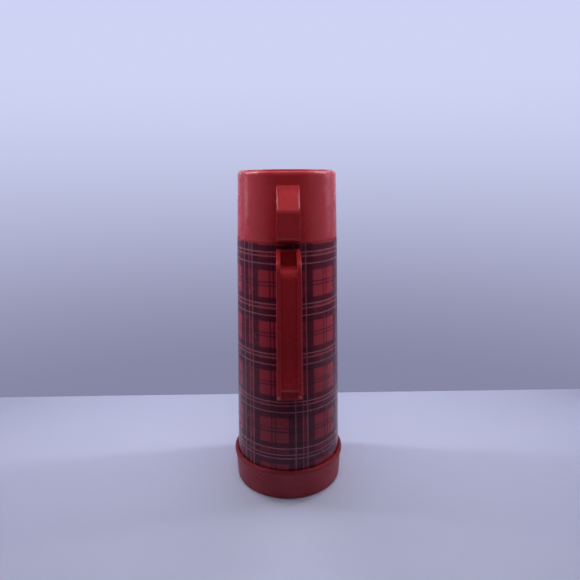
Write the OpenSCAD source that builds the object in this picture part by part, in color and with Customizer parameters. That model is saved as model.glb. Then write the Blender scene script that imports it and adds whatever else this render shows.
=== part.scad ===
// Handled vacuum flask with a screw-on drinking cup, a screw stopper and a glass filler.
// The axis is +Z, the flask stands on z = 0, and both handles face -Y.

/* [Body] */
// Outer radius of the body just under the cup
body_top_r = 54.2; // [50:0.1:56]
// Growth of the body radius for each millimetre going down
body_taper = 0.0234; // [0:0.001:0.03]
// Height of the joint between the body and the cup
body_top_z = 288; // [284:0.5:290]
// Wall of the moulded body shell
shell_wall = 2.2; // [1.8:0.1:2.6]
// Thickness of the printed wrap around the shell
wrap_t = 0.6; // [0.4:0.1:0.8]

/* [Cup] */
// Height of the cup from its open edge to its foot ring
cup_h = 69.2; // [64:0.1:72]
// Outer radius of the cup at its open edge
cup_mouth_r = 54; // [53:0.1:54.1]
// Outer radius of the cup at its foot ring
cup_foot_r = 51.7; // [51:0.1:53]
// Wall of the cup's outer shell
cup_wall = 1.8; // [1.4:0.1:2]
// Depth of the round recess in the cup's flat end
cup_recess = 2; // [1:0.1:3]

/* [Base] */
// Height of the base up to its rim
base_h = 36; // [32:0.5:40]
// Outer radius of the bead around the rim
base_bead_r = 64.1; // [63.4:0.1:66]
// Outer radius of the base where it meets the table
base_foot_r = 61.3; // [61:0.1:62]

/* [Body handle] */
// Distance from the body to the outer face of the grip
grip_reach = 41.5; // [40:0.5:46]
// Width of the handle at its lower end
grip_w_low = 25.3; // [24:0.1:28]
// Width of the handle at its upper end
grip_w_high = 23.4; // [22:0.1:25]
// Thickness of the two side walls and of the web
grip_wall = 4; // [3:0.1:4.4]
// Thickness of the two feet that the screws hold
grip_foot_t = 7; // [6:0.5:8]

/* [Cup handle] */
// Width of the cup's handle
cup_grip_w = 21.9; // [20:0.1:24]
// Distance from the axis to the outer face of the cup's handle
cup_grip_u = 87; // [84:0.5:90]
// Thickness of the cup's handle
cup_grip_t = 6; // [5:0.5:7]

/* [Filler] */
// Inner radius of the liquid space
glass_bore_r = 40; // [38:0.5:41]
// Inner radius of the glass neck
neck_bore_r = 24; // [23:0.5:25]
// Thickness of each glass wall
glass_wall = 1.2; // [1:0.1:1.6]
// Width of the evacuated space between the walls
vacuum_gap = 3.2; // [2.5:0.1:3.5]

/* [Threads] */
// Rise of the cup, stopper and base threads in one turn
thread_pitch = 5; // [4:0.5:6]
// Height of a thread ridge above its wall
thread_depth = 0.9; // [0.6:0.1:1]

/* [Hidden] */

$fn = 96;
arc_steps = 8;
fit = 0.3;

// Heights that the pieces share
wrap_foot_z = 25;
shell_foot_z = 9;
flange_z = body_top_z - 0.8;
skirt_z = body_top_z - 4;
cup_rim_z = body_top_z + fit;
cup_top_z = cup_rim_z + cup_h;
lip_z = 272;
neck_ledge_z = 275;

// Base
base_floor_z = 3;
base_floor_t = 2.5;
base_bead_h = 5.5;
bead_line_drop = 2.4;
bead_line = 0.5;
base_wall_r = 60.6;
base_socket_r = 58.6;
base_socket_z = 24;
foot_ring_r = 54.5;
base_boss_r = 9;

// Shell foot, where the base screws on
shell_socket_r = 57.3;

// Cup
cup_gap = 1.1;
liner_wall = 1.6;
liner_mouth_z = cup_rim_z + 1.9;
disc_t = 2;
disc_z = cup_top_z - cup_recess;
liner_top_z = disc_z - disc_t - 3;
foot_ring_w = 6;
foot_round = 4;

// Collar
collar_r = 46.8;
collar_top_z = 301;
collar_lip_z = 307;
collar_wall = 2.3;
collar_bore_r = 27.8;
pour_lip_r = 31;

// Stopper
plug_r = 21.5;
plug_foot_z = 258;
stopper_thread_r = 26.4;
knob_r = 24;
knob_z = 302;
knob_h = 20;
stopper_seat_z = 280;
flute_count = 12;
flute_r = 2.4;

// Body handle, as a side view: distance from the axis, then height
grip_top_z = 282;
grip_foot_z = 119.5;
grip_low_z = 141;
grip_high_z = 277;
web_drop = 8.2;
grip_depth = 8;
groove_depth = 4;
leg_t = 12;
screw_r = 2;
screw_head_r = 3.8;
screw_head_h = 2.4;
screw_high_z = 277;
screw_low_z = 126.4;
screw_bite = 5.6;
anchor_t = 3;
anchor_w = 16;
anchor_h = 9;

// Cup handle, as a side view
cup_grip_high_z = 344.8;
cup_grip_bend_z = 323.4;
cup_grip_low_z = 294.5;
cup_grip_root_u = 48;
cup_grip_shelf_u = 54;
rail_w = 1.4;
rail_h = 0.5;

// Glass filler
glass_foot_z = 14;
glass_gap_z = 5;
shoulder_z = 248;
tip_r = 3.5;
tip_h = 6;

function body_r(z) = body_top_r + body_taper * (body_top_z - z);
function cup_r(z) = cup_mouth_r + (cup_foot_r - cup_mouth_r) * (z - cup_rim_z) / cup_h;
function line_z(a, b, u) = a.y + (b.y - a.y) * (u - a.x) / (b.x - a.x);

// Points of an arc of radius r that rounds the corner at b between a and c
function unit(v) = v / norm(v);
function corner_arc(a, b, c, r) = let (
        u = unit(a - b),
        v = unit(c - b),
        half = acos(u * v) / 2,
        mid = b + unit(u + v) * r / sin(half),
        from = b + u * r / tan(half) - mid,
        to = b + v * r / tan(half) - mid,
        start = atan2(from.y, from.x),
        turn = (atan2(to.y, to.x) - start + 540) % 360 - 180
    )
    [for (i = [0 : arc_steps]) mid + r * [cos(start + turn * i / arc_steps), sin(start + turn * i / arc_steps)]];

// The outline through pts with each corner rounded by its own radius, 0 for a sharp one
function rounded(pts, radii) = let (n = len(pts))
    [for (i = [0 : n - 1]) each radii[i] == 0
        ? [pts[i]]
        : corner_arc(pts[(i + n - 1) % n], pts[i], pts[(i + 1) % n], radii[i])];

// Turns an outline of (radius, height) into a solid of revolution
module lathe(pts) {
    rotate_extrude() polygon(pts);
}

// Extrudes a side view (distance from the axis, height) across X
module side_view(width) {
    rotate([90, 0, -90]) linear_extrude(width, center = true) children();
}

// Extrudes a front view (x, height) along Y, on the -Y side
module front_view(depth) {
    rotate([90, 0, 0]) linear_extrude(depth) children();
}

// The body's tapered outside, grown by grow
module body_cone(grow) {
    low = -5;
    high = cup_top_z;
    translate([0, 0, low]) cylinder(h = high - low, r1 = body_r(low) + grow, r2 = body_r(high) + grow);
}

// Rings of a thread, standing out of (side = 1) or into (side = -1) a wall of radius r
module thread_rings(r, z, turns, side) {
    half = thread_pitch * 0.18;
    root = r - side * 0.3;
    crest = r + side * thread_depth;
    for (i = [0 : turns - 1])
        translate([0, 0, z + i * thread_pitch])
            lathe([[root, -half], [crest, -half * 0.4], [crest, half * 0.4], [root, half]]);
}

/* Cup */
module cup_shell() {
    color([0.62, 0.09, 0.09])
        lathe(rounded([
            [0, disc_z - disc_t], [cup_r(disc_z - disc_t) - cup_wall, disc_z - disc_t],
            [cup_mouth_r - cup_wall, cup_rim_z], [cup_mouth_r, cup_rim_z],
            [cup_foot_r, cup_top_z], [cup_foot_r - foot_ring_w, cup_top_z],
            [cup_foot_r - foot_ring_w, disc_z], [0, disc_z]
        ], [0, 3, 0, 0.6, foot_round, 1.2, 0.6, 0]));
}

module cup_liner() {
    out = cup_wall + cup_gap;
    mouth_out = cup_r(liner_mouth_z) - cup_wall - 0.05;
    step_z = liner_mouth_z + 2.5;
    top_out = cup_r(liner_top_z) - out;
    mouth_in = cup_r(liner_mouth_z) - out - liner_wall;
    color([0.60, 0.10, 0.10])
        union() {
            lathe(rounded([
                [mouth_in, liner_mouth_z], [mouth_out, liner_mouth_z], [mouth_out - 0.1, step_z],
                [cup_r(step_z) - out, step_z], [top_out, liner_top_z], [0, liner_top_z],
                [0, liner_top_z - liner_wall], [top_out - liner_wall, liner_top_z - liner_wall]
            ], [0, 0, 0, 0, 4, 0, 0, 2.4]));
            thread_rings(mouth_in - 0.3, liner_mouth_z + 3, 2, -1);
        }
}

module cup_handle() {
    t = cup_grip_t;
    in_u = cup_grip_u - t;
    rail_u = cup_grip_u - rail_h;
    groove_u = cup_grip_shelf_u + 1.5;
    low = cup_grip_low_z;
    far = cup_grip_u + t;
    shelf = [cup_grip_shelf_u, cup_grip_high_z];
    bend = [cup_grip_u, cup_grip_bend_z];
    lean = cos(atan2(shelf.y - bend.y, bend.x - shelf.x));
    out = [[cup_grip_root_u, shelf.y], shelf, bend, [cup_grip_u, low], [cup_grip_root_u, low]];
    gap = [[cup_grip_root_u, line_z(shelf, bend, cup_grip_root_u) - t / lean], [in_u, line_z(shelf, bend, in_u) - t / lean],
        [in_u, low + t], [cup_grip_root_u, low + t]];
    groove = [[groove_u, line_z(shelf, bend, groove_u) - rail_h / lean], [rail_u, line_z(shelf, bend, rail_u) - rail_h / lean],
        [rail_u, low + 2], [far, low + 2], [far, shelf.y + t], [groove_u, shelf.y + t]];
    color([0.62, 0.10, 0.10])
        difference() {
            side_view(cup_grip_w) polygon(rounded(out, [0, 6, 6, 5, 0]));
            side_view(cup_grip_w * 2) polygon(rounded(gap, [0, 3.5, 4, 0]));
            side_view(cup_grip_w - 2 * rail_w) polygon(rounded(groove, [0, 5.5, 0, 0, 0, 0]));
            translate([0, 0, cup_rim_z]) cylinder(h = cup_h, r1 = cup_mouth_r, r2 = cup_foot_r);
        }
}

module cup_seal() {
    inner = cup_r(liner_mouth_z) - cup_wall - cup_gap - liner_wall + 0.2;
    outer = cup_r(liner_mouth_z) - cup_wall - fit;
    color([0.85, 0.83, 0.78])
        translate([0, 0, body_top_z + fit]) difference() {
            cylinder(h = liner_mouth_z - body_top_z - 2 * fit, r = outer);
            translate([0, 0, -1]) cylinder(h = liner_mouth_z, r = inner);
        }
}

/* Stopper */
module stopper_cap() {
    wall = 2;
    color([0.60, 0.09, 0.09])
        difference() {
            lathe(rounded([
                [plug_r - 1, knob_z - 4], [stopper_thread_r - 0.8, knob_z - 4], [stopper_thread_r - 0.8, knob_z],
                [knob_r, knob_z + 2], [knob_r, knob_z + knob_h], [0, knob_z + knob_h],
                [0, knob_z + knob_h - wall], [knob_r - 4.5, knob_z + knob_h - wall],
                [knob_r - 4.5, knob_z + 2], [plug_r - 1, knob_z]
            ], [0, 0, 0, 0, 2.5, 0, 0, 2, 0, 0]));
            for (i = [0 : flute_count - 1])
                rotate([0, 0, i * 360 / flute_count])
                    translate([knob_r + 1.2, 0, knob_z + 4]) cylinder(h = knob_h, r = flute_r, $fn = 24);
        }
}

module stopper_plug() {
    wall = 1.8;
    seat = stopper_seat_z + 2;
    top = knob_z - 4;
    r = stopper_thread_r - 0.8;
    color([0.88, 0.86, 0.80])
        union() {
            lathe(rounded([
                [0, plug_foot_z], [plug_r, plug_foot_z], [plug_r, seat - 3], [plug_r + 2, seat],
                [r, seat], [r, top], [plug_r - 1, top], [plug_r - wall, seat], [plug_r - wall, plug_foot_z + wall],
                [0, plug_foot_z + wall]
            ], [0, 3, 0, 0, 0, 0, 0, 0, 1.5, 0]));
            thread_rings(r, seat + 4, 2, 1);
        }
}

module stopper_foam() {
    gap = 0.2;
    wall = 1.8 + gap;
    low = plug_foot_z + wall;
    color([0.93, 0.91, 0.84])
        lathe(rounded([
            [0, low], [plug_r - wall, low], [plug_r - wall, stopper_seat_z + 2],
            [plug_r - 1 - gap, knob_z - 4], [plug_r - 1 - gap, knob_z], [knob_r - 4.5 - gap, knob_z + 2],
            [knob_r - 4.5 - gap, knob_z + knob_h - wall - gap], [0, knob_z + knob_h - wall - gap]
        ], [0, 1.5, 0, 0, 0, 0, 2, 0]));
}

module stopper_gasket() {
    thick = 2 - 2 * fit;
    color([0.80, 0.78, 0.72])
        translate([0, 0, stopper_seat_z + fit]) difference() {
            cylinder(h = thick, r = collar_bore_r - 1.3);
            translate([0, 0, -1]) cylinder(h = thick + 2, r = plug_r + 2.6);
        }
}

/* Neck of the flask */
module pour_collar() {
    inset = shell_wall + wrap_t;
    rim_r = body_r(body_top_z) - 0.1;
    skirt_r = body_r(skirt_z) - inset - 0.25;
    tube_r = collar_bore_r + collar_wall;
    inner_r = collar_r - collar_wall;
    ledge_r = neck_bore_r + 1.2;
    plate_z = body_top_z - collar_wall;
    color([0.60, 0.09, 0.09])
        union() {
            lathe(rounded([
                [ledge_r, neck_ledge_z], [neck_bore_r + 9, neck_ledge_z], [neck_bore_r + 9, neck_ledge_z + collar_wall],
                [tube_r, neck_ledge_z + 2 * collar_wall], [tube_r, collar_lip_z - collar_wall],
                [inner_r, collar_top_z - collar_wall], [inner_r, plate_z], [skirt_r - collar_wall, plate_z],
                [skirt_r - collar_wall, skirt_z], [skirt_r, skirt_z], [skirt_r, flange_z], [rim_r, flange_z],
                [rim_r, body_top_z], [collar_r, body_top_z], [collar_r, collar_top_z], [pour_lip_r + 1.5, collar_lip_z],
                [collar_bore_r, collar_lip_z], [collar_bore_r, stopper_seat_z], [ledge_r, stopper_seat_z]
            ], [0, 1, 0, 0, 0, 0, 0, 0, 0, 0, 0, 0, 0.3, 0.8, 3, 1.5, 0.8, 0, 0.6]));
            thread_rings(collar_r, body_top_z + 4.5, 2, 1);
            thread_rings(collar_bore_r, stopper_seat_z + 8, 2, -1);
        }
}

module neck_gasket() {
    color([0.20, 0.20, 0.20])
        translate([0, 0, lip_z]) difference() {
            cylinder(h = neck_ledge_z - lip_z, r = neck_bore_r + 9);
            translate([0, 0, -1]) cylinder(h = 6, r = neck_bore_r + 1.2);
        }
}

/* Body */
// Holes along the screws' axes, from inside the body to reach past its outer surface
module screw_bores(r, reach) {
    start = 40;
    for (z = [screw_low_z, screw_high_z])
        translate([0, -start, z]) rotate([90, 0, 0]) cylinder(h = body_r(z) + reach - start, r = r, $fn = 32);
}

module body_shell() {
    out = wrap_t;
    inn = wrap_t + shell_wall;
    top = flange_z;
    shelf = wrap_foot_z - 1;
    color([0.45, 0.07, 0.08])
        difference() {
            union() {
                lathe([
                    [shell_socket_r - shell_wall, shell_foot_z], [shell_socket_r, shell_foot_z],
                    [shell_socket_r, shelf - 1], [body_r(shelf + 1) - out, shelf + 1], [body_r(top) - out, top],
                    [body_r(top) - inn, top], [body_r(shelf + 4) - inn, shelf + 4],
                    [shell_socket_r - shell_wall, shelf]
                ]);
                thread_rings(shell_socket_r, shell_foot_z + 5, 2, 1);
            }
            screw_bores(screw_r, 3);
        }
}

module plaid_wrap() {
    low = wrap_foot_z;
    top = flange_z;
    color([0.45, 0.10, 0.14])
        difference() {
            lathe([[body_r(low) - wrap_t, low], [body_r(low), low], [body_r(top), top], [body_r(top) - wrap_t, top]]);
            screw_bores(screw_r, 3);
        }
}

/* Body handle */
module handle_grip() {
    low_u = body_r(grip_low_z) + grip_reach;
    high_u = body_r(grip_high_z) + grip_reach;
    foot = [body_r(grip_foot_z), grip_foot_z];
    bend = [low_u, grip_low_z];
    root_u = foot.x - 8;
    lean = cos(atan2(bend.y - foot.y, bend.x - foot.x));
    gap_rise = leg_t / lean;
    web_rise = (leg_t - grip_wall) / lean;
    in_low = low_u - grip_depth;
    in_high = high_u - grip_depth;
    web_low = low_u - groove_depth;
    web_high = high_u - groove_depth;
    web_z = grip_high_z - web_drop;
    out = [[root_u, line_z(foot, bend, root_u)], bend, [high_u, grip_high_z], [foot.x, grip_top_z], [root_u, grip_top_z]];
    gap = [[root_u, line_z(foot, bend, root_u) + gap_rise], [in_low, line_z(foot, bend, in_low) + gap_rise],
        [in_high, web_z - grip_wall - 0.4], [root_u, web_z - grip_wall]];
    pocket_low = body_r(screw_low_z) + grip_foot_t;
    pocket_high = body_r(screw_high_z) + grip_foot_t;
    far = low_u + 20;
    channel = [[pocket_low, line_z(foot, bend, pocket_low) + web_rise], [web_low, line_z(foot, bend, web_low) + web_rise],
        [web_high, web_z], [pocket_high, web_z], [pocket_high, grip_top_z + 20], [far, grip_top_z + 20],
        [far, grip_foot_z - 20], [pocket_low, grip_foot_z - 20]];
    color([0.62, 0.10, 0.10])
        difference() {
            intersection() {
                side_view(grip_w_low + 10) polygon(rounded(out, [0, 8, 11, 0, 0]));
                front_view(low_u + 10) polygon([
                    [-grip_w_low / 2, grip_foot_z - 5], [grip_w_low / 2, grip_foot_z - 5],
                    [grip_w_high / 2, grip_top_z], [-grip_w_high / 2, grip_top_z]
                ]);
            }
            side_view(grip_w_low + 20) polygon(rounded(gap, [0, 6, 6, 0]));
            intersection() {
                side_view(grip_w_low) polygon(rounded(channel, [0, 3, 10, 0, 0, 0, 0, 0]));
                front_view(far + 10) polygon([
                    [grip_wall - grip_w_low / 2, grip_foot_z - 30], [grip_w_low / 2 - grip_wall, grip_foot_z - 30],
                    [grip_w_high / 2 - grip_wall, grip_top_z + 30], [grip_wall - grip_w_high / 2, grip_top_z + 30]
                ]);
            }
            body_cone(0);
            screw_bores(screw_r, screw_bite);
        }
}

module handle_screws() {
    seat = wrap_t + shell_wall + anchor_t;
    slot_w = 0.9;
    slot_l = 4.4;
    color([0.72, 0.72, 0.70])
        for (z = [screw_low_z, screw_high_z])
            translate([0, seat - body_r(z), z])
                difference() {
                    union() {
                        rotate([-90, 0, 0]) cylinder(h = screw_head_h, r = screw_head_r, $fn = 32);
                        rotate([90, 0, 0]) cylinder(h = seat + screw_bite - fit, r = screw_r, $fn = 32);
                    }
                    for (a = [0, 90])
                        rotate([0, a, 0]) translate([-slot_l / 2, screw_head_h - 1.2, -slot_w / 2]) cube([slot_l, 2, slot_w]);
                }
}

module handle_anchors() {
    color([0.70, 0.70, 0.68])
        for (z = [screw_low_z, screw_high_z])
            difference() {
                translate([-anchor_w / 2, -body_r(z) + wrap_t + shell_wall - 0.9, z - anchor_h / 2])
                    cube([anchor_w, anchor_t + 0.9, anchor_h]);
                difference() {
                    translate([-50, -body_r(z) - 10, z - 20]) cube([100, 30, 40]);
                    body_cone(-wrap_t - shell_wall - 0.05);
                }
                screw_bores(screw_r, 3);
            }
}

/* Glass filler */
// Outline of a bottle of radius r with a neck of radius neck, its foot at z and its lip at top
function bottle(r, neck, z, top, grow) = rounded([
        [0, z], [r, z], [r, shoulder_z + grow - (r - neck) * 0.9], [neck, shoulder_z + grow], [neck, top], [0, top]
    ], [0, 24, 14, 7, 0, 0]);

module glass_inner() {
    r = glass_bore_r;
    lip_r = neck_bore_r + 2 * glass_wall + vacuum_gap;
    color([0.80, 0.86, 0.86, 0.5])
        difference() {
            union() {
                lathe(bottle(r + glass_wall, neck_bore_r + glass_wall, glass_foot_z + glass_gap_z, lip_z, glass_wall));
                translate([0, 0, lip_z - 2]) cylinder(h = 2, r = lip_r);
            }
            lathe(bottle(r, neck_bore_r, glass_foot_z + glass_gap_z + glass_wall, lip_z + 1, 0));
        }
}

module glass_outer() {
    r = glass_bore_r + glass_wall + vacuum_gap;
    neck = neck_bore_r + glass_wall + vacuum_gap;
    color([0.78, 0.80, 0.82, 0.5])
        difference() {
            lathe(bottle(r + glass_wall, neck + glass_wall, glass_foot_z, lip_z - 2, 2 * glass_wall + vacuum_gap));
            lathe(bottle(r, neck, glass_foot_z + glass_wall, lip_z + 1, glass_wall + vacuum_gap));
        }
}

module glass_spacers() {
    r = glass_bore_r + glass_wall;
    color([0.55, 0.53, 0.50])
        for (i = [0 : 2])
            rotate([0, 0, 60 + i * 120])
                intersection() {
                    translate([0, 0, 70]) rotate([0, 90, 0]) cylinder(h = r + vacuum_gap + 5, r = 6);
                    difference() {
                        cylinder(h = 100, r = r + vacuum_gap - 0.05);
                        translate([0, 0, -1]) cylinder(h = 102, r = r + 0.05);
                    }
                }
}

module glass_tip() {
    color([0.75, 0.80, 0.80, 0.6])
        lathe(rounded([
            [0, glass_foot_z - tip_h], [tip_r * 0.5, glass_foot_z - tip_h],
            [tip_r, glass_foot_z], [0, glass_foot_z]
        ], [0, 1.2, 0, 0]));
}

module tip_guard() {
    color([0.18, 0.18, 0.18])
        lathe([
            [tip_r + 0.6, base_floor_z + base_floor_t + 1.5], [tip_r + 4, base_floor_z + base_floor_t + 1.5],
            [tip_r + 4, glass_foot_z - 0.05], [tip_r + 0.6, glass_foot_z - 0.05]
        ]);
}

/* Cushions */
module shock_ring(z, h) {
    inner = glass_bore_r + 2 * glass_wall + vacuum_gap + 0.05;
    outer = body_r(z + h) - wrap_t - shell_wall - 0.1;
    color([0.30, 0.30, 0.30])
        translate([0, 0, z]) difference() {
            cylinder(h = h, r = outer);
            translate([0, 0, -1]) cylinder(h = h + 2, r = inner);
        }
}

module shock_ring_upper() {
    shock_ring(188, 14);
}

module shock_ring_lower() {
    shock_ring(58, 14);
}

module base_cushion() {
    floor_z = base_floor_z + base_floor_t + fit;
    r = glass_bore_r + 2 * glass_wall + vacuum_gap;
    color([0.20, 0.20, 0.20])
        difference() {
            lathe(rounded([
                [tip_r + 5, floor_z], [r + 3, floor_z], [r + 3, glass_foot_z + 16], [r - 6, glass_foot_z + 16],
                [tip_r + 5, glass_foot_z]
            ], [0, 2, 1.5, 0, 0]));
            lathe(bottle(r + 0.05, neck_bore_r + 10, glass_foot_z - 0.05, lip_z, 0));
        }
}

/* Base */
module base_seal() {
    color([0.80, 0.78, 0.72])
        translate([0, 0, base_floor_z + base_floor_t + fit]) difference() {
            cylinder(h = shell_foot_z - base_floor_z - base_floor_t - 2 * fit, r = base_socket_r - fit);
            translate([0, 0, -1]) cylinder(h = 10, r = shell_socket_r - shell_wall - 0.5);
        }
}

module base_cup() {
    floor_top = base_floor_z + base_floor_t;
    below_bead = base_h - base_bead_h;
    neck_r = base_bead_r - 1.1;
    mid_z = base_h - bead_line_drop;
    color([0.50, 0.08, 0.09])
        union() {
            lathe(rounded([
                [0, 0], [base_boss_r, 0], [base_boss_r, base_floor_z], [foot_ring_r, base_floor_z], [foot_ring_r, 0], [base_foot_r, 0],
                [neck_r, below_bead - 0.9], [base_bead_r, below_bead], [base_bead_r, mid_z - bead_line],
                [base_bead_r - bead_line, mid_z], [base_bead_r, mid_z + bead_line], [base_bead_r, base_h],
                [base_wall_r, base_h], [base_wall_r, base_socket_z + 1],
                [base_socket_r, base_socket_z - 1], [base_socket_r, floor_top], [0, floor_top]
            ], [0, 0.5, 0.5, 0.8, 0.8, 2, 0.8, 0.8, 0, 0, 0, 1.4, 0.5, 0, 0, 0, 0]));
            thread_rings(base_socket_r + 0.35, shell_foot_z + 2.5, 2, -1);
        }
}

cup_shell();
cup_liner();
cup_handle();
cup_seal();
stopper_cap();
stopper_plug();
stopper_foam();
stopper_gasket();
pour_collar();
neck_gasket();
body_shell();
plaid_wrap();
handle_grip();
handle_screws();
handle_anchors();
glass_inner();
glass_outer();
glass_spacers();
glass_tip();
tip_guard();
shock_ring_upper();
shock_ring_lower();
base_cushion();
base_seal();
base_cup();
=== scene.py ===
"""A plaid vacuum flask with a handled cup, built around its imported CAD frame.

Everything is in metres. MM turns a size in millimetres into metres. The flask's axis is Z, and both
handles face -Y. A side view gives points as (distance from the axis, height).
"""

from math import atan2, cos, pi, radians, sin, sqrt, tan

import bmesh
import bpy
from mathutils import Matrix, Vector


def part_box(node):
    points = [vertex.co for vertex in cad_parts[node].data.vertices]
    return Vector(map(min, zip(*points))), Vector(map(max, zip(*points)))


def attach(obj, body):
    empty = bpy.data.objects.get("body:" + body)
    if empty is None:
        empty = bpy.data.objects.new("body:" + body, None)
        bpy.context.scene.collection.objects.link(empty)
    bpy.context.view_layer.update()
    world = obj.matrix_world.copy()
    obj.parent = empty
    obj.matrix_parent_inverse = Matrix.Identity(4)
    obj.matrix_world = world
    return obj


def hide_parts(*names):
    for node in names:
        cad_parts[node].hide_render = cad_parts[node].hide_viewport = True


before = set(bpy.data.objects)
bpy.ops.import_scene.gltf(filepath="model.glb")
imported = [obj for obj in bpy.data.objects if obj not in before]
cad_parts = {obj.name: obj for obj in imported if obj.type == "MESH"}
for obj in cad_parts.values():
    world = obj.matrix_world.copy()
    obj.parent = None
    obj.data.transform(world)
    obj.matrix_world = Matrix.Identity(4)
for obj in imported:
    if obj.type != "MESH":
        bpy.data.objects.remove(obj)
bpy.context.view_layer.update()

MM = 0.001
SEGMENTS = 192
ARC_STEPS = 6
SHARP_ANGLE = radians(38)
ON_AXIS = 1e-7

# ---------------------------------------------------------------- sizes, from the frame
BASE_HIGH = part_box("base_cup")[1]
WRAP_LOW, WRAP_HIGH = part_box("plaid_wrap")
CUP_LOW, CUP_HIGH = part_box("cup_shell")
LINER_LOW, LINER_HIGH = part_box("cup_liner")
COLLAR_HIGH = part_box("pour_collar")[1]
KNOB_LOW, KNOB_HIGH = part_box("stopper_cap")
PLUG_LOW, PLUG_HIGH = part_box("stopper_plug")
GRIP_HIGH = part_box("handle_grip")[1]
CUP_GRIP_LOW, CUP_GRIP_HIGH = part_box("cup_handle")
GLASS_LOW, GLASS_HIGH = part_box("glass_inner")

NECK_HEIGHT = 19.0 * MM
BODY_TOP_Z = COLLAR_HIGH[2] - NECK_HEIGHT
BODY_TOP_R = 54.2 * MM
BODY_TAPER = 0.0234
WRAP_T = 0.6 * MM
SHELL_T = 2.2 * MM

CUP_MOUTH_R = CUP_HIGH[0]
CUP_TAPER = 2.3 / 69.2
CUP_WALL = 1.8 * MM
CUP_GAP = 1.1 * MM
CUP_RECESS = 2.0 * MM
CUP_RING_W = 6.0 * MM
CUP_FOOT_ROUND = 4.0 * MM
LINER_WALL = 1.6 * MM

# Threads: the height where the ridge starts, its turns, and how far it stands out
THREAD_PITCH = 5.0 * MM
CUP_THREAD = (290.2 * MM, 1.5, 0.85 * MM)
LINER_THREAD = (LINER_LOW[2] + 1.8 * MM, 1.5, 1.1 * MM)
STOPPER_THREAD = (286.0 * MM, 2, 0.85 * MM)
PLUG_THREAD = (284.5 * MM, 2, 0.85 * MM)
SHELL_THREAD = (11.5 * MM, 1.5, 0.5 * MM)
BASE_THREAD = (9.5 * MM, 1.5, 0.5 * MM)

# Roundings of moulded edges
CRISP, NEAT, EASED, SOFT, BLUNT = 0.2 * MM, 0.3 * MM, 0.4 * MM, 0.5 * MM, 0.6 * MM


def body_r(z):
    """Outer radius of the tapered body at height z."""
    return BODY_TOP_R + BODY_TAPER * (BODY_TOP_Z - z)


def cup_r(z):
    """Outer radius of the cup at height z."""
    return CUP_MOUTH_R - CUP_TAPER * (z - CUP_LOW[2])


# ---------------------------------------------------------------- outlines and meshes
def rounded(points, closed=False, steps=ARC_STEPS):
    """The outline through (x, y, radius) points, with an arc wherever the radius isn't 0."""
    out = []
    last = len(points) - 1
    for i, (x, y, radius) in enumerate(points):
        here = Vector((x, y))
        if radius == 0 or (not closed and i in (0, last)):
            out.append(here)
            continue
        to_before = (Vector(points[i - 1][:2]) - here).normalized()
        to_after = (Vector(points[(i + 1) % len(points)][:2]) - here).normalized()
        half = to_before.angle(to_after) / 2
        centre = here + (to_before + to_after).normalized() * radius / sin(half)
        start = here + to_before * radius / tan(half) - centre
        end = here + to_after * radius / tan(half) - centre
        angle = atan2(start.y, start.x)
        turn = (atan2(end.y, end.x) - angle + 3 * pi) % (2 * pi) - pi
        for k in range(steps + 1):
            a = angle + turn * k / steps
            out.append(centre + Vector((cos(a), sin(a))) * radius)
    return out


def mm(points):
    """Points given in millimetres, in metres."""
    return [tuple(value * MM for value in point) for point in points]


def lathe(outline, closed=False, segments=SEGMENTS, ripple=None):
    """Vertices and faces of an outline of (radius, height) turned about Z.

    ripple(angle, radius, height) gives another radius, for flutes.
    """
    verts, faces, rings = [], [], []
    for r, z in outline:
        if r < ON_AXIS:
            rings.append([len(verts)] * segments)
            verts.append((0, 0, z))
            continue
        rings.append(list(range(len(verts), len(verts) + segments)))
        for j in range(segments):
            a = 2 * pi * j / segments
            radius = ripple(a, r, z) if ripple else r
            verts.append((radius * cos(a), radius * sin(a), z))
    pairs = list(zip(rings, rings[1:]))
    if closed:
        pairs.append((rings[-1], rings[0]))
    for low, high in pairs:
        for j in range(segments):
            k = (j + 1) % segments
            corners = (low[j], low[k], high[k], high[j])
            face = list(dict.fromkeys(corners))
            if len(face) > 2:
                faces.append(face)
    return verts, faces


def skin(loops):
    """Vertices and faces of a bar skinned over closed loops of points, with flat ends."""
    n = len(loops[0])
    verts = [tuple(p) for loop in loops for p in loop]
    faces = []
    for i in range(len(loops) - 1):
        for j in range(n):
            k = (j + 1) % n
            faces.append([i * n + j, i * n + k, (i + 1) * n + k, (i + 1) * n + j])
    faces.append(list(range(n)))
    faces.append(list(range((len(loops) - 1) * n, len(loops) * n)))
    return verts, faces


RIDGE_STEPS = 48
RIDGE_SUNK = 0.25 * MM
RIDGE_HALF = THREAD_PITCH * 0.2
RIDGE_CREST_HALF = RIDGE_HALF * 0.42
RIDGE_RUN_OUT = 8
RIDGE_LEAST = 0.02


def helix_ridge(radius, z, turns, height, inward=False):
    """Vertices and faces of one thread ridge on a wall.

    It runs out to next to nothing over the first and the last eighth of its length.
    """
    steps = int(turns * RIDGE_STEPS)
    side = -1 if inward else 1
    root = radius - side * RIDGE_SUNK
    loops = []
    for i in range(steps + 1):
        a = 2 * pi * turns * i / steps
        full = min(1, RIDGE_RUN_OUT * i / steps, RIDGE_RUN_OUT * (steps - i) / steps)
        crest = radius + side * height * (full * (1 - RIDGE_LEAST) + RIDGE_LEAST)
        mid = z + THREAD_PITCH * turns * i / steps
        profile = [
            (root, -RIDGE_HALF), (crest, -RIDGE_CREST_HALF),
            (crest, RIDGE_CREST_HALF), (root, RIDGE_HALF)]
        loops.append([(r * cos(a), r * sin(a), mid + dz) for r, dz in profile])
    return skin(loops)


def joined(*meshes):
    """Several (vertices, faces) pairs as one."""
    verts, faces = [], []
    for more_verts, more_faces in meshes:
        faces += [[index + len(verts) for index in face] for face in more_faces]
        verts += more_verts
    return verts, faces


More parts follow.
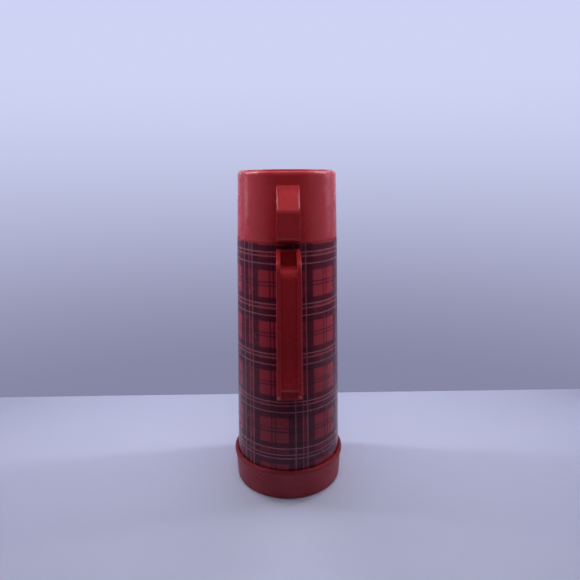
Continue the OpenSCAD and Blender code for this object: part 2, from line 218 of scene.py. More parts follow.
def place(name, mesh_data, material, body, node, slot):
    """Makes the piece, gives it its material, and has it stand for its CAD node."""
    mesh = bpy.data.meshes.new(name)
    mesh.from_pydata(mesh_data[0], [], mesh_data[1])
    work = bmesh.new()
    work.from_mesh(mesh)
    bmesh.ops.remove_doubles(work, verts=work.verts, dist=ON_AXIS)
    bmesh.ops.recalc_face_normals(work, faces=work.faces)
    work.to_mesh(mesh)
    work.free()
    mesh.shade_smooth()
    mesh.set_sharp_from_angle(angle=SHARP_ANGLE)
    piece = bpy.data.objects.new(name, mesh)
    bpy.context.scene.collection.objects.link(piece)
    mesh.materials.append(material)
    normals = piece.modifiers.new("even_shading", "WEIGHTED_NORMAL")
    normals.keep_sharp = True
    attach(piece, body)
    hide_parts(node)
    return piece


# ---------------------------------------------------------------- material helpers
# Noise scales are in repeats per metre, and bump distances in metres
EDGE_POINTINESS = (0.53, 0.60)


class Nodes:
    """Short calls for building one material's node tree."""

    def __init__(self, name):
        self.material = bpy.data.materials.new(name)
        self.material.use_nodes = True
        self.tree = self.material.node_tree
        self.shader = self.tree.nodes["Principled BSDF"]
        coords = self.tree.nodes.new("ShaderNodeTexCoord")
        self.place = coords.outputs["Object"]

    def link(self, source, socket):
        self.tree.links.new(source, socket)

    def feed(self, value, socket):
        """Links value if it is a socket, or else sets it."""
        if isinstance(value, bpy.types.NodeSocket):
            self.link(value, socket)
        else:
            socket.default_value = value

    def math(self, operation, a, b=0.0):
        node = self.tree.nodes.new("ShaderNodeMath")
        node.operation = operation
        for value, socket in zip((a, b), node.inputs):
            self.feed(value, socket)
        return node.outputs[0]

    def stretched(self, scale):
        """The object's own coordinates, scaled by a different factor along each axis."""
        node = self.tree.nodes.new("ShaderNodeMapping")
        self.link(self.place, node.inputs["Vector"])
        node.inputs["Scale"].default_value = scale
        return node.outputs[0]

    def noise(self, scale, detail=3.0, rough=0.5, place=None):
        node = self.tree.nodes.new("ShaderNodeTexNoise")
        self.link(place or self.place, node.inputs["Vector"])
        node.inputs["Scale"].default_value = scale
        node.inputs["Detail"].default_value = detail
        node.inputs["Roughness"].default_value = rough
        return node.outputs[0]

    def remap(self, value, low, high, to_low, to_high, smooth=False):
        node = self.tree.nodes.new("ShaderNodeMapRange")
        node.interpolation_type = "SMOOTHSTEP" if smooth else "LINEAR"
        self.link(value, node.inputs["Value"])
        node.inputs["From Min"].default_value = low
        node.inputs["From Max"].default_value = high
        node.inputs["To Min"].default_value = to_low
        node.inputs["To Max"].default_value = to_high
        return node.outputs[0]

    def mix(self, factor, a, b):
        node = self.tree.nodes.new("ShaderNodeMix")
        node.data_type = "RGBA"
        self.feed(factor, node.inputs["Factor"])
        self.feed(a, node.inputs["A"])
        self.feed(b, node.inputs["B"])
        return node.outputs["Result"]

    def bump(self, height, distance, strength=1.0, below=None):
        node = self.tree.nodes.new("ShaderNodeBump")
        node.inputs["Strength"].default_value = strength
        node.inputs["Distance"].default_value = distance
        self.link(height, node.inputs["Height"])
        if below is not None:
            self.link(below, node.inputs["Normal"])
        return node.outputs["Normal"]

    def edges(self):
        """1 along raised edges and 0 elsewhere."""
        node = self.tree.nodes.new("ShaderNodeNewGeometry")
        return self.remap(node.outputs["Pointiness"], *EDGE_POINTINESS, 0.0, 1.0)

    def scratches(self, place, scale, width):
        """Fine lines: the places where a stretched noise crosses its middle value."""
        cloud = self.noise(scale, 1.5, 0.4, place)
        ridge = self.math("ABSOLUTE", self.math("SUBTRACT", cloud, 0.5))
        return self.remap(ridge, 0.0, width, 1.0, 0.0)

    def set(self, **values):
        for name, value in values.items():
            self.feed(value, self.shader.inputs[name.replace("_", " ")])


def rgba(colour, gain=1.0):
    return (colour[0] * gain, colour[1] * gain, colour[2] * gain, 1.0)


SCUFF_COLOUR = (0.75, 0.45, 0.42)
SCUFF_STRENGTH = 0.25
SCUFF_STRETCH = (1, 1, 9)
PEEL_DEPTH = 0.04 * MM
SINK_DEPTH = 0.3 * MM


def moulded_plastic(name, colour, roughness, scuffs=0.5, gloss=0.4):
    """Moulded plastic: uneven pigment, a faint orange peel, table scuffs and paler edges."""
    n = Nodes(name)
    cloud = n.noise(14, 4, 0.6)
    tint = n.mix(n.remap(cloud, 0.35, 0.65, 0.0, 1.0), rgba(colour, 0.9), rgba(colour, 1.08))
    fleck = n.remap(n.noise(900, 2, 0.5), 0.62, 0.75, 0.0, 0.12)
    tint = n.mix(fleck, tint, rgba(colour, 1.6))
    rubbed = n.scratches(n.stretched(SCUFF_STRETCH), 38, 0.012)
    patches = n.remap(n.noise(30, 3, 0.6), 0.5, 0.7, 0.0, 1.0)
    worn = n.math("MULTIPLY", rubbed, patches)
    strength = SCUFF_STRENGTH * scuffs
    tint = n.mix(n.math("MULTIPLY", worn, strength), tint, rgba(SCUFF_COLOUR))
    edge = n.math("MULTIPLY", n.edges(), n.remap(n.noise(160, 3, 0.6), 0.4, 0.62, 0.1, 0.4))
    tint = n.mix(edge, tint, rgba([min(1.0, part * 1.5 + 0.03) for part in colour]))
    satin = n.remap(n.noise(46, 4, 0.6), 0.3, 0.7, roughness - 0.06, roughness + 0.07)
    satin = n.math("ADD", satin, n.math("MULTIPLY", worn, strength))
    peel = n.bump(n.noise(420, 2, 0.5), PEEL_DEPTH)
    sink = n.bump(n.noise(34, 2, 0.4), SINK_DEPTH, 0.35, peel)
    n.set(Base_Color=tint, Roughness=satin, Normal=sink)
    n.shader.inputs["Specular IOR Level"].default_value = gloss
    return n.material


# ---------------------------------------------------------------- plaid print
# Heights are in metres and turns in degrees. Places and widths are parts of one repeat, and a line
# or a fine check is given as (place, width, strength).
PLAID_TOP = 279.0 * MM
PLAID_REPEAT = 53.93 * MM
PLAID_LAST = 80 * MM
PLAID_LAST_DROP = 1.2 * MM
PLAID_LAST_FADE = 2 * MM
PLAID_TURN = 61.3
PLAID_START = 7.2
PLAID_TWIST = 1.5
PLAID_RED = (0.46, 0.037, 0.054)
PLAID_DARK = (0.085, 0.008, 0.024)
PLAID_LINE = (0.46, 0.15, 0.18)
# Painted shade towards the foot: its colour, the heights over which it fades in, and how strong it
# is at the bottom
PLAID_PAINTED_SHADE = (0.05, 0.018, 0.030)
PLAID_PAINTED_SHADE_Z = (50 * MM, 210 * MM)
PLAID_PAINTED_SHADE_AMOUNT = 0.40
PLAID_SQUARE = (0.352, 0.875)
PLAID_FINE = ((0.578, 0.026, 0.85), (0.647, 0.026, 0.85))
PLAID_MAROON = 0.42
PLAID_MAROON_ROW = (-0.02, 0.11)
PLAID_MAROON_COLUMN = (0.115, 0.21)
PLAID_LEAST_RED = 0.12
PLAID_ROW_LINES = ((0.0, 0.022, 1.0), (0.2225, 0.022, 0.95))
PLAID_MIDDLE_LINE = (0.079, 0.022)
PLAID_MIDDLE_LINE_LAST = (0.143, 0.022)
PLAID_MIDDLE_STRENGTH = 0.85
PLAID_LINE_FADE = (0.35, 0.75)
PLAID_COLUMN_LINES = ((0.0, 0.020, 0.8), (0.134, 0.020, 0.5), (0.215, 0.020, 0.8))
RIB_PITCH = 1.3 * MM
RIB_RISE = 0.99 * MM
RIB_COLOUR = (0.02, 0.005, 0.01)
CLOUD_COLOUR = (0.08, 0.02, 0.03)
RUB_COLOUR = (0.45, 0.25, 0.26)
INK_DEPTH = 0.03 * MM
WAVE_DEPTH = 0.4 * MM


class Plaid:
    """The pattern along one direction, from a coordinate that runs 0 to 1 in each repeat."""

    def __init__(self, nodes, at):
        self.nodes = nodes
        self.at = at

    def band(self, low, high, soft=0.012):
        n = self.nodes
        rise = n.remap(self.at, low - soft, low + soft, 0.0, 1.0, smooth=True)
        fall = n.remap(self.at, high - soft, high + soft, 1.0, 0.0, smooth=True)
        return n.math("MULTIPLY", rise, fall)

    def stripe(self, centre, width):
        n = self.nodes
        gap = n.math("ABSOLUTE", n.math("SUBTRACT", self.at, centre))
        wrapped = n.math("MINIMUM", gap, n.math("SUBTRACT", 1.0, gap))
        core, edge = PLAID_LINE_FADE
        return n.remap(wrapped, width * core, width * edge, 1.0, 0.0, smooth=True)

    def squares(self):
        n = self.nodes
        red = self.band(*PLAID_SQUARE)
        for centre, width, depth in PLAID_FINE:
            cut = n.math("MULTIPLY", self.stripe(centre, width), depth)
            red = n.math("MULTIPLY", red, n.math("SUBTRACT", 1.0, cut))
        return red

    def lines(self, stripes):
        n = self.nodes
        light = 0.0
        for centre, width, weight in stripes:
            stripe = n.math("MULTIPLY", self.stripe(centre, width), weight)
            light = n.math("MAXIMUM", light, stripe)
        return light

    def field(self, maroon):
        """How red the cloth is: full in the squares, less in the maroon band, least elsewhere."""
        n = self.nodes
        squares = self.squares()
        band = n.math("MULTIPLY", self.band(*maroon), PLAID_MAROON)
        share = n.math("MULTIPLY", n.math("MAXIMUM", squares, band), 1 - PLAID_LEAST_RED)
        return n.math("ADD", PLAID_LEAST_RED, share)


def plaid_material(name):
    """Printed plaid under a clear gloss coat."""
    n = Nodes(name)
    split = n.tree.nodes.new("ShaderNodeSeparateXYZ")
    n.link(n.place, split.inputs[0])
    x, y, z = split.outputs
    angle = n.math("DEGREES", n.math("ARCTAN2", x, n.math("MULTIPLY", y, -1.0)))
    # The printed sheet was rolled a little askew
    angle = n.math("ADD", angle, n.remap(z, PLAID_LAST, PLAID_TOP, 0.0, PLAID_TWIST))
    # Counted from far enough back that no angle comes before it
    start = PLAID_START - 6 * PLAID_TURN
    turns = n.math("DIVIDE", n.math("SUBTRACT", angle, start), PLAID_TURN)
    around = Plaid(n, n.math("FRACT", turns))
    # The last group of lines sits a little lower and has its middle line nearer the lower one
    last = n.remap(z, PLAID_LAST, PLAID_LAST + PLAID_LAST_FADE, 1.0, 0.0)
    shifted = n.math("ADD", z, n.math("MULTIPLY", last, PLAID_LAST_DROP))
    rows = n.math("DIVIDE", n.math("SUBTRACT", PLAID_TOP + PLAID_REPEAT, shifted), PLAID_REPEAT)
    down = Plaid(n, n.math("FRACT", rows))
    middle = n.mix(last, down.stripe(*PLAID_MIDDLE_LINE), down.stripe(*PLAID_MIDDLE_LINE_LAST))
    middle = n.math("MULTIPLY", middle, PLAID_MIDDLE_STRENGTH)
    across = n.math("MAXIMUM", down.lines(PLAID_ROW_LINES), middle)
    upright = around.lines(PLAID_COLUMN_LINES)
    row = down.field(PLAID_MAROON_ROW)
    column = around.field(PLAID_MAROON_COLUMN)
    colour = n.mix(n.math("MULTIPLY", row, column), rgba(PLAID_DARK), rgba(PLAID_RED))
    # Painted shade: the print is darker towards the foot, standing in for light that falls off
    # downward; its lines are laid on afterwards and stay unshaded
    foot = n.remap(z, *PLAID_PAINTED_SHADE_Z, PLAID_PAINTED_SHADE_AMOUNT, 0.0)
    colour = n.mix(foot, colour, rgba(PLAID_PAINTED_SHADE))
    light = n.math("MAXIMUM", across, upright)
    faded = n.math("MULTIPLY", light, n.remap(n.noise(240, 3, 0.6), 0.3, 0.7, 0.6, 0.95))
    colour = n.mix(faded, colour, rgba(PLAID_LINE))
    # Woven look of the print: fine diagonal ribs
    slant = n.math("ADD", n.math("MULTIPLY", angle, RIB_RISE), z)
    rib = n.math("SINE", n.math("MULTIPLY", slant, 2 * pi / RIB_PITCH))
    colour = n.mix(n.remap(rib, -1.0, 1.0, 0.0, 0.12), colour, rgba(RIB_COLOUR))
    cloud = n.remap(n.noise(20, 4, 0.6), 0.35, 0.7, 0.0, 0.12)
    colour = n.mix(cloud, colour, rgba(CLOUD_COLOUR))
    rub = n.scratches(n.stretched((1, 1, 5)), 60, 0.006)
    rubbed = n.math("MULTIPLY", rub, n.remap(n.noise(26, 3, 0.6), 0.52, 0.7, 0.0, 0.5))
    colour = n.mix(n.math("MULTIPLY", rubbed, 0.25), colour, rgba(RUB_COLOUR))
    gloss = n.remap(n.noise(40, 4, 0.6), 0.3, 0.7, 0.20, 0.30)
    ink = n.bump(light, INK_DEPTH, 0.4)
    wave = n.bump(n.noise(24, 2, 0.4), WAVE_DEPTH, 0.3, ink)
    n.set(Base_Color=colour, Roughness=n.math("ADD", gloss, rubbed), Normal=wave)
    n.shader.inputs["Specular IOR Level"].default_value = 0.2
    return n.material


def soft_material(name, colour, grain, roughness, depth):
    """Rubber, foam or fibre: a fine grain with lighter and darker specks."""
    n = Nodes(name)
    speck = n.noise(grain, 4, 0.65)
    tint = n.mix(n.remap(speck, 0.35, 0.65, 0.0, 1.0), rgba(colour, 0.75), rgba(colour, 1.15))
    dust = n.remap(n.noise(22, 4, 0.6), 0.55, 0.75, 0.0, 0.2)
    tint = n.mix(dust, tint, rgba([min(1.0, part + 0.12) for part in colour]))
    high = min(1.0, roughness + 0.08)
    rough = n.remap(n.noise(grain * 0.4, 3, 0.6), 0.3, 0.7, roughness - 0.08, high)
    n.set(Base_Color=tint, Roughness=rough, Normal=n.bump(speck, depth))
    return n.material


SILVER_DULL, SILVER_BRIGHT = (0.62, 0.62, 0.63), (0.84, 0.84, 0.86)
GLASS_TINT, GLASS_SEED = (0.86, 0.93, 0.92), (1, 1, 1)
GLASS_WAVE = 0.3 * MM


def glass_material(name, silver):
    """Blown glass, clear or silvered, slightly wavy and with a few seeds."""
    n = Nodes(name)
    wave = n.bump(n.noise(40, 2, 0.4), GLASS_WAVE, 0.4)
    seeds = n.remap(n.noise(700, 2, 0.5), 0.72, 0.8, 0.0, 1.0)
    if silver:
        cloud = n.remap(n.noise(18, 4, 0.6), 0.3, 0.7, 0.0, 1.0)
        n.set(Base_Color=n.mix(cloud, rgba(SILVER_DULL), rgba(SILVER_BRIGHT)))
        n.set(Roughness=n.remap(seeds, 0.0, 1.0, 0.08, 0.3), Normal=wave)
        n.shader.inputs["Metallic"].default_value = 0.95
        return n.material
    n.set(Base_Color=n.mix(seeds, rgba(GLASS_TINT), rgba(GLASS_SEED)))
    n.set(Roughness=n.remap(seeds, 0.0, 1.0, 0.03, 0.2), Normal=wave)
    n.shader.inputs["Metallic"].default_value = 0.55
    n.shader.inputs["Coat Weight"].default_value = 1.0
    n.shader.inputs["Coat Roughness"].default_value = 0.03
    return n.material


STEEL_DARK, STEEL_LIGHT = (0.50, 0.50, 0.48), (0.72, 0.72, 0.70)
RUST_COLOUR = (0.22, 0.10, 0.05)
MARK_DEPTH = 0.03 * MM


def plated_steel(name):
    """Zinc-plated steel with turning marks and a few rust specks."""
    n = Nodes(name)
    marks = n.noise(260, 3, 0.6, n.stretched((6, 1, 6)))
    shine = n.remap(marks, 0.35, 0.65, 0.0, 1.0)
    tint = n.mix(shine, rgba(STEEL_DARK), rgba(STEEL_LIGHT))
    rust = n.remap(n.noise(500, 4, 0.7), 0.66, 0.74, 0.0, 0.5)
    tint = n.mix(rust, tint, rgba(RUST_COLOUR))
    rough = n.math("ADD", n.remap(marks, 0.3, 0.7, 0.28, 0.42), n.math("MULTIPLY", rust, 0.5))
    n.set(Base_Color=tint, Roughness=rough, Normal=n.bump(marks, MARK_DEPTH))
    n.shader.inputs["Metallic"].default_value = 1.0
    return n.material


# ---------------------------------------------------------------- cup
CUP_DISC_T = 2.0 * MM
CUP_LIP_BEVEL = 2.6 * MM
CUP_BEND_DROP = 9.0 * MM
CUP_BEAD_SHARE = 0.62
CUP_DISC_ROUND = 3.0 * MM
CUP_LIP_ROUND = 0.7 * MM
CUP_RING_DRAFT = 0.2 * MM
CUP_RING_ROUND = 1.2 * MM
# Half width and height of the bead; outer radius, inner radius and height of the gate's mark
CUP_BEAD = (0.5 * MM, 0.35 * MM)
GATE_MARK = (2.6 * MM, 2.1 * MM, 0.5 * MM)


def build_cup_shell(material):
    """Outer wall: a round-edged foot ring around a flat end with a fine bead and a gate mark."""
    low, top = CUP_LOW[2], CUP_HIGH[2]
    disc = top - CUP_RECESS
    ring_r = cup_r(top) - CUP_RING_W
    bead_r = ring_r * CUP_BEAD_SHARE
    bead_half, bead_h = CUP_BEAD
    gate_out, gate_in, gate_h = GATE_MARK
    outline = rounded([
        (0, disc - CUP_DISC_T, 0),
        (cup_r(disc) - CUP_WALL, disc - CUP_DISC_T, CUP_DISC_ROUND),
        (CUP_MOUTH_R - CUP_WALL, low, SOFT),
        (CUP_MOUTH_R, low, CUP_LIP_ROUND),
        (cup_r(low + CUP_LIP_BEVEL), low + CUP_LIP_BEVEL, 0),
        (cup_r(top - CUP_BEND_DROP), top - CUP_BEND_DROP, 0),
        (cup_r(top), top, CUP_FOOT_ROUND),
        (ring_r, top, CUP_RING_ROUND),
        (ring_r - CUP_RING_DRAFT, disc, SOFT),
        (bead_r, disc, EASED),
        (bead_r - bead_half, disc + bead_h, EASED),
        (bead_r - 2 * bead_half, disc, EASED),
        (gate_out, disc, CRISP),
        (gate_in, disc + gate_h, NEAT),
        (0, disc + gate_h, 0),
    ])
    return place("cup_outer_wall", lathe(outline), material, "cup", "cup_shell", "cup_red")


LINER_STEP = 2.5 * MM
LINER_ROUND = 4.0 * MM
LINER_CORNER = 2.4 * MM
LINER_CLEAR = 0.05 * MM
# Outer radius, inner radius and height
LINER_DIMPLE = (6.0 * MM, 5.6 * MM, 0.3 * MM)


def build_cup_liner(material):
    """Inner wall: the drinking side, with its threaded mouth against the outer wall."""
    low, top = LINER_LOW[2], LINER_HIGH[2]
    inset = CUP_WALL + CUP_GAP
    mouth_out = cup_r(low) - CUP_WALL - LINER_CLEAR
    mouth_in = cup_r(low) - inset - LINER_WALL
    step = low + LINER_STEP
    floor = top - LINER_WALL
    dimple_out, dimple_in, dimple_h = LINER_DIMPLE
    outline = rounded([
        (0, top, 0),
        (cup_r(top) - inset, top, LINER_ROUND),
        (cup_r(step) - inset, step, EASED),
        (mouth_out, step, NEAT),
        (mouth_out, low, EASED),
        (mouth_in, low, BLUNT),
        (cup_r(top) - inset - LINER_WALL, floor, LINER_CORNER),
        (dimple_out, floor, NEAT),
        (dimple_in, floor - dimple_h, CRISP),
        (0, floor - dimple_h, 0),
    ])
    ridge = helix_ridge(mouth_in - LINER_CLEAR, *LINER_THREAD, inward=True)
    mesh = joined(lathe(outline), ridge)
    return place("cup_inner_wall", mesh, material, "cup", "cup_liner", "liner_red")


GROOVE_SLACK = 0.01 * MM
SECTION_STEPS = 4


def bar_section(width, thick, groove, wall, edge, inner_edge):
    """One cross-section of a grooved bar as (x, depth below its outer face) points."""
    half = width / 2
    soft = min(SOFT, groove * 0.4)
    return rounded([
        (-half, 0, edge), (-half, thick, inner_edge), (half, thick, inner_edge), (half, 0, edge),
        (half - wall, 0, min(edge, soft)), (half - wall, groove, soft),
        (wall - half, groove, soft), (wall - half, 0, min(edge, soft)),
    ], closed=True, steps=SECTION_STEPS)


def bar_loop(outer, web, inner, section, groove_half):
    """The cross-section set between a point of the outer line and one of the inner line.

    The points of its groove's floor lie towards the web's point instead.
    """
    depth_of_web = (web - outer).length
    loop = []
    for x, depth in section:
        on_floor = abs(x) < groove_half + GROOVE_SLACK and depth > depth_of_web / 2
        spot = outer + ((web if on_floor else inner) - outer).normalized() * depth
        loop.append((x, -spot.x, spot.y))
    return loop


def divided(line, splits):
    """The line with each listed segment cut into that many equal parts: {first point: parts}."""
    out = []
    for i, point in enumerate(line[:-1]):
        parts = splits.get(i, 1)
        out += [point.lerp(line[i + 1], k / parts) for k in range(parts)]
    return out + [line[-1]]


CUP_GRIP_T = 6.0 * MM
CUP_GRIP_ROOT = 50.8 * MM
CUP_GRIP_SHELF = 54.0 * MM
CUP_GRIP_BEND = 28.9 * MM
CUP_GRIP_RAIL = 1.4 * MM
CUP_GRIP_GROOVE = (0.05 * MM, 0.45 * MM)
CUP_GRIP_FADE = 5 * MM
CUP_GRIP_CUTS = {7: 8, 14: 6, 21: 6}
# Roundings: the top bend, the lower bend and the foot outside, every corner inside, and the long
# edges of the outer and the inner face
CUP_GRIP_ROUNDS = (6 * MM, 6 * MM, 5 * MM)
CUP_GRIP_INNER_ROUND = 3 * MM
CUP_GRIP_EDGES = (0.4 * MM, 1.4 * MM)


def build_cup_handle(material):
    """A bar out from the cup's top, sloping down, then straight down and back to the mouth."""
    width = CUP_GRIP_HIGH[0] - CUP_GRIP_LOW[0]
    far = -CUP_GRIP_LOW[1]
    low, high = CUP_GRIP_LOW[2], CUP_GRIP_HIGH[2]
    thick, root, shelf = CUP_GRIP_T, CUP_GRIP_ROOT, CUP_GRIP_SHELF
    bend = low + CUP_GRIP_BEND
    slope = (high - bend) / (far - shelf)
    rise = thick * sqrt(1 + slope * slope)
    top_round, bend_round, foot_round = CUP_GRIP_ROUNDS
    outer = rounded([
        (root, high, 0), (shelf, high, top_round), (far, bend, bend_round),
        (far, low, foot_round), (root, low, 0)])
    inner = rounded([
        (root, high + slope * (shelf - root) - rise, 0), (shelf, high - rise, 0),
        (far - thick, bend + slope * thick - rise, CUP_GRIP_INNER_ROUND),
        (far - thick, low + thick, CUP_GRIP_INNER_ROUND), (root, low + thick, 0)])
    inner = divided(inner, {0: ARC_STEPS + 1})
    least, more = CUP_GRIP_GROOVE
    loops = []
    for a, b in zip(divided(outer, CUP_GRIP_CUTS), divided(inner, CUP_GRIP_CUTS)):
        deep = least + more * min(1.0, max(0.0, a.x - shelf) / CUP_GRIP_FADE)
        section = bar_section(width, (b - a).length, deep, CUP_GRIP_RAIL, *CUP_GRIP_EDGES)
        web = a + (b - a).normalized() * deep
        loops.append(bar_loop(a, web, b, section, width / 2 - CUP_GRIP_RAIL))
    return place("cup_grip", skin(loops), material, "cup", "cup_handle", "cup_red")


# ---------------------------------------------------------------- body handle
GRIP_TOP_Z = GRIP_HIGH[2]
GRIP_FOOT_Z = 119.5 * MM
GRIP_BEND_LOW_Z = 141.0 * MM
GRIP_BEND_HIGH_Z = 277.0 * MM
GRIP_REACH = 41.5 * MM
GRIP_DEPTH = 8.0 * MM
GRIP_WALL = 4.0 * MM
GRIP_WEB_DROP = 8.2 * MM
GRIP_FOOT_T = 7.0 * MM
GRIP_WIDE = 25.3 * MM
GRIP_NARROW = 23.4 * MM
GRIP_SUNK = 1.2 * MM
GRIP_WEB_RISE = 8
GRIP_UNDER_RISE = 12
GRIP_SOLID_GROOVE = 0.08 * MM
GRIP_CUTS = {0: 6, 7: 24, 14: 6}
# Roundings: the lower and the upper bend of the outer line, of the web and of the inner line, and
# the long edges of the outer and the inner face
GRIP_OUTER_ROUNDS = (8 * MM, 11 * MM)
GRIP_WEB_ROUNDS = (3 * MM, 10 * MM)
GRIP_INNER_ROUND = 6 * MM
GRIP_EDGES = (0.8 * MM, 1.6 * MM)


def height_on(a, b, u):
    """Height at distance u from the axis on the straight line through the points a and b."""
    return a[1] + (b[1] - a[1]) * (u - a[0]) / (b[0] - a[0])


def build_body_handle(material):
    """A channel open to the outside, with a closed foot at each end that sits on the body."""
    low_u = body_r(GRIP_BEND_LOW_Z) + GRIP_REACH
    high_u = body_r(GRIP_BEND_HIGH_Z) + GRIP_REACH
    web_z = GRIP_BEND_HIGH_Z - GRIP_WEB_DROP
    under = web_z - GRIP_WALL
    foot, bend = (body_r(GRIP_FOOT_Z), GRIP_FOOT_Z), (low_u, GRIP_BEND_LOW_Z)
    top_foot, top_bend = (foot[0], GRIP_TOP_Z), (high_u, GRIP_BEND_HIGH_Z)
    leg = sqrt(1 + ((bend[1] - foot[1]) / (bend[0] - foot[0])) ** 2) * MM

    def low_leg(u, rise):
        """Height at u of the line that runs rise millimetres inside the lower leg's edge."""
        return height_on(foot, bend, u) + rise * leg

    def stations(low_end, high_end):
        """Outer, web and inner points from one end of the handle to the other."""
        low_round, high_round = GRIP_OUTER_ROUNDS
        outer = rounded([
            (low_end, low_leg(low_end, 0), 0), (*bend, low_round), (*top_bend, high_round),
            (high_end, height_on(top_foot, top_bend, high_end), 0)])
        web_low, web_high = low_u - GRIP_WALL, high_u - GRIP_WALL
        low_round, high_round = GRIP_WEB_ROUNDS
        web = rounded([
            (low_end, low_leg(low_end, GRIP_WEB_RISE), 0),
            (web_low, low_leg(web_low, GRIP_WEB_RISE), low_round),
            (web_high, web_z, high_round), (high_end, web_z, 0)])
        in_low, in_high = low_u - GRIP_DEPTH, high_u - GRIP_DEPTH
        inner = rounded([
            (low_end, low_leg(low_end, GRIP_UNDER_RISE), 0),
            (in_low, low_leg(in_low, GRIP_UNDER_RISE), GRIP_INNER_ROUND),
            (in_high, under, GRIP_INNER_ROUND), (high_end, under, 0)])
        return list(zip(*(divided(line, GRIP_CUTS) for line in (outer, web, inner))))

    low_end = body_r(GRIP_FOOT_Z) + GRIP_FOOT_T
    high_end = body_r(GRIP_BEND_HIGH_Z) + GRIP_FOOT_T
    back = GRIP_SUNK + GRIP_FOOT_T
    channel = stations(low_end, high_end)
    ends = stations(low_end - back, high_end - back)
    spots = [(True, ends[0]), (True, channel[0])]
    spots += [(False, spot) for spot in channel]
    spots += [(True, channel[-1]), (True, ends[-1])]
    loops = []
    for closed, (a, w, b) in spots:
        share = (a.y - GRIP_FOOT_Z) / (GRIP_TOP_Z - GRIP_FOOT_Z)
        width = GRIP_WIDE + (GRIP_NARROW - GRIP_WIDE) * share
        if closed:
            w = a + (b - a).normalized() * GRIP_SOLID_GROOVE
        deep = (w - a).length
        section = bar_section(width, (b - a).length, deep, GRIP_WALL, *GRIP_EDGES)
        loops.append(bar_loop(a, w, b, section, width / 2 - GRIP_WALL))
    return place("body_grip", skin(loops), material, "root", "handle_grip", "body_red")


# ---------------------------------------------------------------- body, base and collar
def build_plaid_wrap(material):
    """The printed sheet, a thin tapered band around the tube."""
    low, high = WRAP_LOW[2], WRAP_HIGH[2]
    outline = rounded([
        (body_r(low) - WRAP_T, low, 0), (body_r(low), low, CRISP),
        (body_r(high), high, CRISP), (body_r(high) - WRAP_T, high, 0)], closed=True)
    mesh = lathe(outline, closed=True)
    return place("plaid_sheet", mesh, material, "root", "plaid_wrap", "plaid")


BEAD_HEIGHT = 5.1 * MM
BEAD_ROUND = 1.4 * MM
BEAD_BORE = 60.65 * MM
BEAD_LINE = 2.4 * MM
BEAD_GROOVE = 0.5 * MM
BEAD_GROOVE_ROUND = 0.15 * MM
BEAD_FOOT_ROUND = 0.9 * MM
BASE_BORE = 58.6 * MM
# (radius, height, rounding) in millimetres: the underside with its centre boss and foot ring and
# the outer wall up to the bead, then the socket from the rim down to the floor
BASE_OUTSIDE = [
    (0, 0, 0), (9, 0, 0.5), (9, 3, 0.5), (54.5, 3, 0.8), (54.5, 0, 0.8), (61.3, 0, 2.2),
    (62.25, 17, 0), (62.85, 29.6, 0.5), (62.95, 30.2, 0.4)]
BASE_INSIDE = [
    (60.65, 25, 0.4), (58.6, 23, 0.4), (58.6, 5.5, 1.5), (9, 5.5, 0), (0, 5.5, 0)]


def build_base(material):
    """A cup-shaped base with a beaded rim that has a fine groove around it."""
    bead_r, _, top = BASE_HIGH
    line = top - BEAD_LINE
    bead = [
        (bead_r, top - BEAD_HEIGHT, BEAD_FOOT_ROUND), (bead_r, line - BEAD_GROOVE, CRISP),
        (bead_r - BEAD_GROOVE, line, BEAD_GROOVE_ROUND), (bead_r, line + BEAD_GROOVE, CRISP),
        (bead_r, top, BEAD_ROUND), (BEAD_BORE, top, SOFT)]
    outline = rounded(mm(BASE_OUTSIDE) + bead + mm(BASE_INSIDE))
    ridge = helix_ridge(BASE_BORE, *BASE_THREAD, inward=True)
    mesh = joined(lathe(outline), ridge)
    return place("base_shell", mesh, material, "base", "base_cup", "base_red")


COLLAR_NECK_R = 46.8 * MM
COLLAR_BORE = 27.8 * MM
COLLAR_LEDGE = 0.8 * MM
COLLAR_INSET = 0.1 * MM
COLLAR_SKIRT = 4 * MM
COLLAR_SKIRT_T = 2.3 * MM
COLLAR_CLEAR = 0.25 * MM
# (radius, height, rounding) in millimetres: up the hollow under the neck, then back over the neck
# and down its bore
COLLAR_HOLLOW = [
    (25.2, 275, 0.5), (33, 275, 1), (33, 277.3, 0.5), (30.1, 279.6, 0.8), (30.1, 304.6, 0.8),
    (44.5, 298.7, 1), (44.5, 285.7, 0.8)]
COLLAR_NECK = [
    (46.8, 288, 0.8), (46.8, 301, 3), (33.5, 306.6, 1.2), (31.6, 307, 0.5), (27.8, 307, 1.0),
    (27.8, 280, 0.5), (25.2, 280, 0.6)]


def build_collar(material):
    """The threaded neck on its flange, which closes the body's top."""
    z = BODY_TOP_Z
    rim = body_r(z) - COLLAR_INSET
    skirt = body_r(z - COLLAR_SKIRT) - WRAP_T - SHELL_T - COLLAR_CLEAR
    skirt_in = skirt - COLLAR_SKIRT_T
    flange = [
        (skirt_in, z - COLLAR_SKIRT_T, NEAT), (skirt_in, z - COLLAR_SKIRT, NEAT),
        (skirt, z - COLLAR_SKIRT, NEAT), (skirt, z - COLLAR_LEDGE, CRISP),
        (rim, z - COLLAR_LEDGE, CRISP), (rim, z, NEAT)]
    outline = rounded(mm(COLLAR_HOLLOW) + flange + mm(COLLAR_NECK), closed=True)
    cup_thread = helix_ridge(COLLAR_NECK_R, *CUP_THREAD)
    stopper_thread = helix_ridge(COLLAR_BORE, *STOPPER_THREAD, inward=True)
    mesh = joined(lathe(outline, closed=True), cup_thread, stopper_thread)
    return place("pouring_collar", mesh, material, "root", "pour_collar", "body_red")


SHELL_FOOT_Z = 9 * MM
SHELL_FOOT_R = 57.3 * MM
SHELL_BORE = 55.1 * MM
SHELL_SHELF = 25 * MM
SHELL_FOOT_TOP = SHELL_SHELF - 2 * MM
SHELL_BORE_TOP = SHELL_SHELF - 1 * MM
SHELL_CONE_Z = 28 * MM
SHELL_CONE_ROUND = 3 * MM
SHELL_CLEAR = 0.05 * MM


